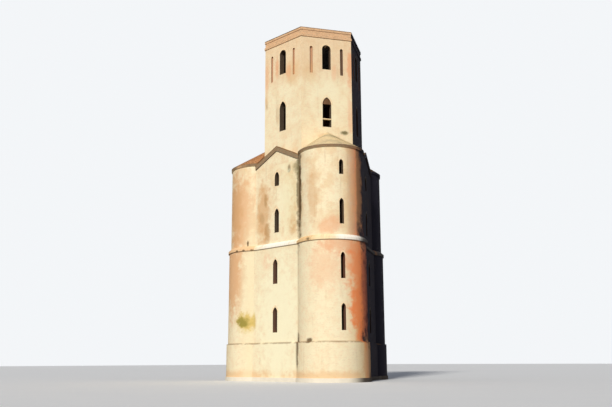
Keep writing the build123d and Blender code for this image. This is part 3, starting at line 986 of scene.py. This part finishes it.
def block(name, size, arris=0.0012):
    """A brick or tile about the origin without its hidden lower face, its upper arrises worn."""
    piece = started(name, bpy.ops.mesh.primitive_cube_add, size=1)
    piece.scale = size
    settle(piece)
    bpy.ops.object.mode_set(mode="EDIT")
    faces = bmesh.from_edit_mesh(piece.data).faces
    for face in faces:
        face.select_set(face.normal.z < -0.5)
    bpy.ops.mesh.delete(type="ONLY_FACE")
    if arris:
        for face in faces:
            face.select_set(face.normal.z > 0.5)
        bpy.ops.mesh.bevel(offset=arris, segments=1)
    bpy.ops.object.mode_set(mode="OBJECT")
    return piece


def hand_out(piece, turns, finish):
    """Copies a piece that is made on the south side to each bearing, with its finish."""
    piece.data.materials.clear()
    piece.data.materials.append(finish.material)
    for side, turn in turns.items():
        copy = copied(piece, f"{side}_{piece.name}", turn=turn)
        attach(copy, "root")
    bpy.data.objects.remove(piece)


flat_turns = {side: bearing + 90 for side, bearing in flat_bearings.items()}
turret_turns = {side: bearing + 90 for side, bearing in turret_bearings.items()}
all_turns = flat_turns | turret_turns
north_turn = {"north": 180}

# %% [markdown]
# ## Laid bricks and tiles
#
# Bricks that are modelled one by one need no drawn bond. Each has a chance number from its
# mesh, which makes it a little darker or paler, and the compass paints it with sunlight or shade
# as it does the walls.

# %% Finishes of laid bricks
def laid_brick(name, sunny, sunny_light, own_shade):
    """The finish of bricks that are modelled one by one, from a darker to a lighter shade. Where
    the walls aren't painted sunlit cream, they keep only this much of their own shade, and away
    from the lamp they take the walls' painted shade."""
    finish = Finish(name, roughness=0.9)
    place = Place(finish)
    luck = finish.luck()
    clouds = finish.noise(place.point, 3.0, detail=4.0)
    sun, finish.shade = painted_light_and_weather(finish, place, clouds)
    finish.stain(luck * 0.35, (0.05, 0.03, 0.025))
    bright = finish.mix(luck * 0.7 + clouds * 0.3, sunny, sunny_light)
    finish.stain(own_shade + sun.steps(0.40, 0.62) * (1 - own_shade), bright)
    gritty = finish.noise(place.point, 110.0, detail=2.0)
    finish.stain(gritty.steps(0.55, 0.80) * 0.35, finish.mix(0.5, finish.shade, (0.12, 0.08, 0.05)))
    finish.paint()
    finish.relief(gritty * 0.6 + clouds * 0.4, 0.0015)
    finish.roughness(0.84 + gritty * 0.14)
    return finish


arch_brick = laid_brick("arch_brick", (0.86, 0.60, 0.36), bleached_and_sunlit_light, 0.10)
ridge_brick = laid_brick("coping_brick", (0.15, 0.078, 0.030), (0.34, 0.19, 0.082), 0.45)
crest_brick = laid_brick("parapet_brick", (0.46, 0.22, 0.10), (0.80, 0.50, 0.28), 0.10)

# %% [markdown]
# ## Arches over the openings
#
# Over each window and niche the bricks stand on end round the arch. A pointed arch is struck
# from its two springings: each side is part of a circle whose centre is the opposite springing.
# So one brick is repeated round that centre by an array that turns, the half ring is cut at the
# middle and mirrored. The rings stand only 2 mm proud of the wall, or they would look like frames.

# %% Sizes of the openings
lancet_width = 0.375
turret_lancet_width = 0.25
lancet_sill = 0.45
lancet_height = 1.45
short_lancet_height = 0.875
tower_window_width = 0.55
tower_window_sill = 0.5
pointed_window_height = 1.9
round_window_height = 1.6
niche_height = 1.75
niche_sill = 0.2
door_width = 0.6
door_height = 1.25
door_sill = 0.125
print("A lancet is", lancet_width, "m wide and a tower window", tower_window_width, "m")

# %% One ring of bricks
arch_proud = 0.002
arch_gap = 0.002  # between the opening's edge and its bricks
brick_bed = 0.045  # how far an arch's bricks reach into the wall


def arch_ring(name, width, pointed, ring=brick_length):
    """Bricks on end round an arch that springs at the origin, their faces towards -Y."""
    radius = width if pointed else width / 2
    span = radians(60) if pointed else pi / 2
    count = round(span * (radius + ring / 3) / course)
    turn = span / count if pointed else span / (count + 0.5)
    piece = block(name, (ring, brick_height, brick_bed))
    settle(piece, (radius + arch_gap + ring / 2, brick_bed / 2 - arch_proud, 0), (pi / 2, 0, 0))
    settle(piece, turn=(0, -turn / 2, 0))
    turner = started("turner", bpy.ops.object.empty_add, rotation=(0, -turn, 0))
    turning = {"use_object_offset": True, "offset_object": turner}
    spare = 2 if pointed else 1
    change(piece, "ARRAY", count=count + spare, use_relative_offset=False, **turning)
    bpy.data.objects.remove(turner)
    settle(piece, (-width / 2 if pointed else 0, 0, 0))
    number_each(piece, faces_of_brick, count)
    cut(piece, (joint / 2 if pointed else 0, 0, 0), (-1, 0, 0), fill=pointed)
    mirror(piece)
    return piece


lancet_ring = arch_ring("lancet_ring", lancet_width, pointed=True)
turret_ring = arch_ring("turret_ring", turret_lancet_width, pointed=True, ring=0.08)
pointed_ring = arch_ring("pointed_ring", tower_window_width, pointed=True)
round_ring = arch_ring("round_ring", tower_window_width, pointed=False)
niche_ring = arch_ring("niche_ring", niche_width, pointed=False, ring=brick_width)
door_ring = arch_ring("door_ring", door_width, pointed=True)
print("Bricks over a lancet:", len(lancet_ring.data.polygons) // faces_of_brick)

# %% [markdown]
# A turret's wall curves away from a flat ring, so its rings are bent: each corner of their
# mesh moves back by as much as the circle falls away at its distance from the middle.

# %% Bend the turrets' rings
def bend_round(piece, radius):
    for vertex in piece.data.vertices:
        vertex.co.y += radius - sqrt(radius ** 2 - vertex.co.x ** 2)


lower_ring = copied(turret_ring, "lower_turret_ring")
bend_round(turret_ring, turret_radius)
bend_round(lower_ring, lower_turret_radius)
bend_round(door_ring, plinth_radius)


# %% Set the arches over their openings
def set_arch(ring, distance, sill, width, height, pointed=True, across=0):
    """A copy of a ring where the arch of an opening springs."""
    springing = height - (width * sqrt(3) / 2 if pointed else width / 2)
    return copied(ring, "arch", (across, -distance, sill + springing))


south_arches = []
turret_arches = []
for storey in ("first", "second", "third", "fourth"):
    lower = storey in ("first", "second")
    height = short_lancet_height if storey == "fourth" else lancet_height
    distance = lower_distance if lower else core_distance
    front = turret_centre + (lower_turret_radius if lower else turret_radius)
    sill = floors[storey] + lancet_sill
    ring = lower_ring if lower else turret_ring
    south_arches.append(set_arch(lancet_ring, distance, sill, lancet_width, height))
    turret_arches.append(set_arch(ring, front, sill, turret_lancet_width, height))

fifth_sill = floors["fifth"] + tower_window_sill
sixth_sill = floors["sixth"] + tower_window_sill
tower_arches = [
    set_arch(pointed_ring, tower_distance, fifth_sill, tower_window_width, pointed_window_height),
    set_arch(round_ring, tower_distance, sixth_sill, tower_window_width, round_window_height, False),
]
for across in (-niche_offset, niche_offset):
    foot = floors["sixth"] + niche_sill
    niche = set_arch(niche_ring, tower_distance, foot, niche_width, niche_height, False, across)
    tower_arches.append(niche)
door_arch = set_arch(door_ring, turret_centre + plinth_radius, door_sill, door_width, door_height)
door_arch.name = "door_arch"

hand_out(joined(south_arches, "lancet_arches"), flat_turns, arch_brick)
hand_out(joined(turret_arches, "turret_arches"), turret_turns, arch_brick)
hand_out(joined(tower_arches, "tower_arches"), all_turns, arch_brick)
hand_out(door_arch, north_turn, arch_brick)
for ring in (lancet_ring, turret_ring, lower_ring, pointed_ring, round_ring, niche_ring, door_ring):
    bpy.data.objects.remove(ring)
print("Arches stand on", len(all_turns), "sides")

# %% [markdown]
# ## Copings of brick on edge
#
# A gable's top is closed by bricks on edge, laid side by side across the wall and down both
# slopes. One brick is repeated down the slope and across it. The row is then turned to the
# gable's rake, cut upright at the ridge and at the corners of the core, and mirrored.

# %% Bricks down the gables
gable_rake = radians(25)
gable_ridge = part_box("gable_copings")[1].z
coping_face = -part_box("gable_copings")[0].y
coping_back = core_distance - 0.26  # the back of the wall below the coping
coping_rows = 3
across = (coping_face - coping_back) / coping_rows
slope_length = corner / cos(gable_rake)
slope_bricks = round(slope_length / course) + 2
proud_front = 0.003
proud_top = 0.004

edge_row = block("coping_bricks", (brick_height, across - joint, brick_width))
row_front = -coping_face + across / 2 - proud_front
settle(edge_row, (course / 2, row_front, proud_top - brick_width / 2))
repeat(edge_row, slope_bricks, (course, 0, 0))
repeat(edge_row, coping_rows, (0, across, 0))
number_each(edge_row, faces_of_brick, 3)
settle(edge_row, (0, 0, gable_ridge), (0, gable_rake, 0))
cut(edge_row, (joint / 2, 0, 0), (-1, 0, 0))
mitre(edge_row, 1)
mirror(edge_row)
hand_out(edge_row, flat_turns, ridge_brick)
print("Bricks down a slope:", slope_bricks)

# %% [markdown]
# The parapet ends in the same way, level and mitred at the tower's six corners. Here the bricks
# and the bed that they lie on take the place of the plain coping, so that the joints between
# them are really open.

# %% Coping of the parapet
crest_low, crest_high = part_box("parapet_coping")
crest_outer = -crest_low.y
parapet_width = 0.37
crest_across = parapet_width / coping_rows
crest_corner = crest_outer * side_width / 2
crest_bricks = round(crest_outer * side_width / course) + 1
crest_course = crest_outer * side_width / crest_bricks

crest = block("crest_bricks", (crest_course - joint, crest_across - joint, brick_width))
crest_front = -crest_outer + crest_across / 2 - joint / 2
settle(crest, (crest_course / 2 - crest_corner, crest_front, crest_high.z - brick_width / 2))
repeat(crest, crest_bricks, (crest_course, 0, 0))
repeat(crest, coping_rows, (0, crest_across, 0))
number_each(crest, faces_of_brick, 5)
mitre(crest, -1, 1)

bed = started("crest_bed", bpy.ops.mesh.primitive_cube_add, size=1)
bed.scale = (crest_outer * 2, parapet_width, crest_high.z - crest_low.z)
settle(bed, (0, parapet_width / 2 - crest_outer, (crest_low.z + crest_high.z) / 2))
mitre(bed, -1, 1)
cut(bed, (0, 0, crest_high.z - joint), (0, 0, 1))
bed.data.materials.append(crown_brick.material)
for side, turn in all_turns.items():
    copy = copied(bed, f"{side}_crest_bed", turn=turn)
    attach(copy, "root")
    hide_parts("parapet_coping")
bpy.data.objects.remove(bed)
hand_out(crest, all_turns, crest_brick)
print("Bricks along one side of the parapet:", crest_bricks)

# %% [markdown]
# ## Roof tiles
#
# The roofs are plain clay tiles in courses, each course lapping the one below and set half a
# tile along. A turret's roof is flat between its rafters, so it is tiled facet by facet: a patch
# of tiles is laid from the eaves to the point, and cut upright along both rafters. All facets
# have as many courses, so the courses run level round the cone.

# %% Tiles in courses
tile_width = 0.0825
tile_thickness = 0.006
tile_gap = 0.002
tile_lap = 1.25  # a tile's length, in courses
tile_rise = tile_thickness * 1.7  # of a tile's foot above the roof
eaves_overhang = 0.006
roof_courses = 56


def laid_tiles(name, gauge, first, columns, pairs, seed, plane):
    """Pairs of courses in a plane, whose X runs along the eaves and whose Y runs up the roof."""
    lap = gauge * tile_lap
    tiles = block(name, (tile_width - tile_gap, lap, tile_thickness), arris=0)
    settle(tiles, (0, lap / 2, 0))
    settle(tiles, (first * tile_width, -eaves_overhang, tile_rise), (-atan2(tile_rise, lap), 0, 0))
    repeat(tiles, columns, (tile_width, 0, 0))
    repeat(tiles, 2, (-tile_width / 2, gauge, 0))
    repeat(tiles, pairs, (0, gauge * 2, 0))
    number_each(tiles, faces_of_tile, seed)
    tiles.matrix_world = plane
    settle(tiles)
    return tiles


def roof_plane(along, up, corner_point):
    plane = Matrix((along, up, along.cross(up))).transposed().to_4x4()
    plane.translation = corner_point
    return plane


def tiled_facet(left, right, top):
    """Tiles on a triangle, from its level lower edge up to its point."""
    along = (right - left).normalized()
    to_top = top - left
    sideways = to_top.dot(along)
    up = to_top - along * sideways
    gauge = up.length / roof_courses
    up.normalize()
    # The point may lie to the left or the right of the lower edge, and the patch reaches it
    first = floor(min(0, sideways) / tile_width)
    last = ceil(max((right - left).length, sideways) / tile_width) + 1
    plane = roof_plane(along, up, left)
    seed = round(left.x * 1000)
    tiles = laid_tiles("tile", gauge, first, last - first + 1, roof_courses // 2, seed, plane)
    for end, other in ((left, right), (right, left)):
        outwards = (top - end).cross(Vector((0, 0, 1)))
        if outwards.dot(other - end) > 0:
            outwards.negate()
        cut(tiles, end, outwards, fill=False)
    return tiles


# %% Tile the turrets' roofs
eaves_radius = turret_radius + 0.055
facets = 24
roof_point = Vector((0, -tower_distance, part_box("turret_roofs")[1].z))


def eaves_point(x, out):
    return Vector((x, -out, turret_top))


# The eaves from the valley on the left, round the front: mirrored for the right
valley_foot = eaves_point(-tower_corner, tower_distance)
flank = 2 * core_distance - eaves_radius * sqrt(3)
eaves = [valley_foot, eaves_point(-corner, core_distance), eaves_point(-eaves_radius, flank)]
for rafter in range(facets // 2 + 1):
    swing = pi * rafter / facets
    eaves.append(eaves_point(-eaves_radius * cos(swing), turret_centre + eaves_radius * sin(swing)))
facet_tiles = [tiled_facet(left, right, roof_point) for left, right in zip(eaves, eaves[1:])]
half_roof = joined(facet_tiles, "turret_tiles")
mirror(half_roof)
print("Faces in a turret's tiles:", len(half_roof.data.polygons))
hand_out(half_roof, turret_turns, clay)

# %% Tile the small roofs behind the gables
roof_depth = coping_back - tower_distance
gable_courses = round(slope_length / 0.05)
gable_gauge = slope_length / gable_courses
gable_columns = round(roof_depth / tile_width) + 2
down = Vector((cos(gable_rake), 0, -sin(gable_rake)))
slope_foot = Vector((0, -coping_back, gable_roof_top)) + down * slope_length
on_slope = roof_plane(Vector((0, 1, 0)), -down, slope_foot)
slope = laid_tiles("gable_tiles", gable_gauge, 0, gable_columns, gable_courses // 2 + 1, 11, on_slope)
cut(slope, (0, -coping_back + tile_gap, 0), (0, -1, 0), fill=False)
cut(slope, (0, -tower_distance - tile_gap, 0), (0, 1, 0), fill=False)
cut(slope, (0, 0, 0), (-1, 0, 0), fill=False)
mitre(slope, 1, fill=False)
mirror(slope)
hand_out(slope, flat_turns, clay)

# %% [markdown]
# The ridge between two slopes is covered by a half-round tile. A pipe is cut in half, given the
# thickness of clay, and its edges are worn.

# %% A ridge tile behind each gable
ridge_radius = 0.055
ridge_drop = 0.026  # of the pipe's middle below the two slopes' meeting
pipe = {"vertices": 20, "radius": ridge_radius, "depth": 1, "end_fill_type": "NOTHING"}
ridge = started("ridge_tile", bpy.ops.mesh.primitive_cylinder_add, **pipe)
ridge.scale.z = roof_depth - tile_gap
settle(ridge, turn=(pi / 2, 0, 0))
cut(ridge, (0, 0, 0.012), (0, 0, -1), fill=False)
change(ridge, "SOLIDIFY", thickness=tile_thickness, offset=-1)
change(ridge, "BEVEL", width=0.0012, limit_method="ANGLE")
settle(ridge, (0, -tower_distance - roof_depth / 2, gable_roof_top - ridge_drop))
number_each(ridge, len(ridge.data.polygons), 12)
hand_out(ridge, flat_turns, clay)

# %% [markdown]
# Where the roofs lean on the tower, the joint is closed with a fillet of lime mortar. Each
# fillet is a thin rod whose middle lies in the joint, so that only its outer quarter shows.

# %% Mortar fillets
mortar = Finish("lime_mortar", roughness=0.95)
mortar_place = Place(mortar)
mortar_clouds = mortar.noise(mortar_place.point, 7.0, detail=5.0)
# Fillets that face away from the lamp are painted dark as painted shade
mortar_sun = (mortar_place.compass - sunny_compass).math("COSINE") + (mortar_clouds - 0.5) * 0.4
mortar.shade = mortar.mix(mortar_clouds, (0.66, 0.52, 0.34), (0.90, 0.78, 0.56))
mortar.stain(1 - mortar_sun.steps(0.0, 0.5), (0.12, 0.085, 0.060))
mortar.paint()
mortar.relief(mortar.noise(mortar_place.point, 45.0, detail=4.0), 0.006)


def fillet(start, end, thickness):
    """A rod of mortar between two points, a little thinner in its middle."""
    rod_form = {"vertices": 12, "radius": thickness, "depth": (end - start).length}
    rod = started("fillet", bpy.ops.mesh.primitive_cylinder_add, **rod_form)
    cut(rod, (0, 0, 0), (0, 0, 1), fill=False, away=False)
    for vertex in rod.data.vertices:
        if abs(vertex.co.z) < 0.001:
            vertex.co.x *= 0.85
            vertex.co.y *= 0.85
    settle(rod, (start + end) / 2, (end - start).to_track_quat("Z", "Y").to_euler())
    return rod


gable_joint = Vector((0, -tower_distance, gable_roof_top))
gable_fall = tower_corner * tan(gable_rake)
turret_fillets = []
gable_fillets = []
for side in (-1, 1):
    turret_foot = eaves_point(side * tower_corner, tower_distance)
    gable_foot = gable_joint + Vector((side * tower_corner, 0, -gable_fall))
    turret_fillets.append(fillet(turret_foot, roof_point, 0.035))
    gable_fillets.append(fillet(gable_foot, gable_joint, 0.028))
hand_out(joined(turret_fillets, "mortar_fillets"), turret_turns, mortar)
hand_out(joined(gable_fillets, "gable_fillets"), flat_turns, mortar)

# %% [markdown]
# ## The lead deck
#
# Lead is laid in bays, because a wide sheet would tear as the sun warms it. Two bays meet over a
# wooden rod and make a roll. One roll is cut from a rod, repeated over the deck, and trimmed to
# the hexagon inside the parapet.

# %% Lead rolls
bay = 0.3375
roll_radius = 0.0225
deck_distance = -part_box("roof_deck")[0].y
deck_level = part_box("roof_deck")[1].z
rolls_each_side = int(deck_distance / cos(pi / 6) / bay)
rod_form = {"vertices": 16, "radius": roll_radius, "depth": 2 * deck_distance}
roll = started("lead_rolls", bpy.ops.mesh.primitive_cylinder_add, **rod_form)
settle(roll, (-rolls_each_side * bay, 0, deck_level + 0.012), (pi / 2, 0, 0))
cut(roll, (0, 0, deck_level - 0.002), (0, 0, -1))
repeat(roll, 2 * rolls_each_side + 1, (bay, 0, 0))
for bearing in (-150, -30, 30, 150):
    way = Vector((cos(radians(bearing)), sin(radians(bearing)), 0))
    cut(roll, way * deck_distance, way)
change(roll, "BEVEL", width=0.006, segments=2, limit_method="ANGLE", angle_limit=radians(50))
roll.data.materials.append(lead.material)
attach(roll, "root")
print("Lead rolls:", 2 * rolls_each_side + 1)

# %% [markdown]
# ## The doorway's threshold
#
# Feet have worn a hollow in the stone. A slab is divided into strips, and the corners near its
# middle sink.

# %% Threshold stone
slab = block("threshold", (door_width - 0.01, 0.40, 0.03), arris=0.004)
shape(slab, bpy.ops.mesh.subdivide, number_cuts=6)
for vertex in slab.data.vertices:
    if vertex.co.z > 0.01:
        vertex.co.z -= 0.011 * cos(pi * vertex.co.x / door_width) ** 2
settle(slab, (0, -turret_centre - plinth_radius + 0.21, door_sill + 0.004))
stone = Finish("threshold_stone", roughness=0.8)
stone_point = stone.vector(*stone.position())
stone_clouds = stone.noise(stone_point, 5.0, detail=5.0)
stone.shade = stone.mix(stone_clouds, (0.30, 0.27, 0.22), (0.55, 0.50, 0.41))
stone.paint()
stone.relief(stone.noise(stone_point, 70.0) * 0.5 + stone_clouds * 0.5, 0.003)
hand_out(slab, north_turn, stone)
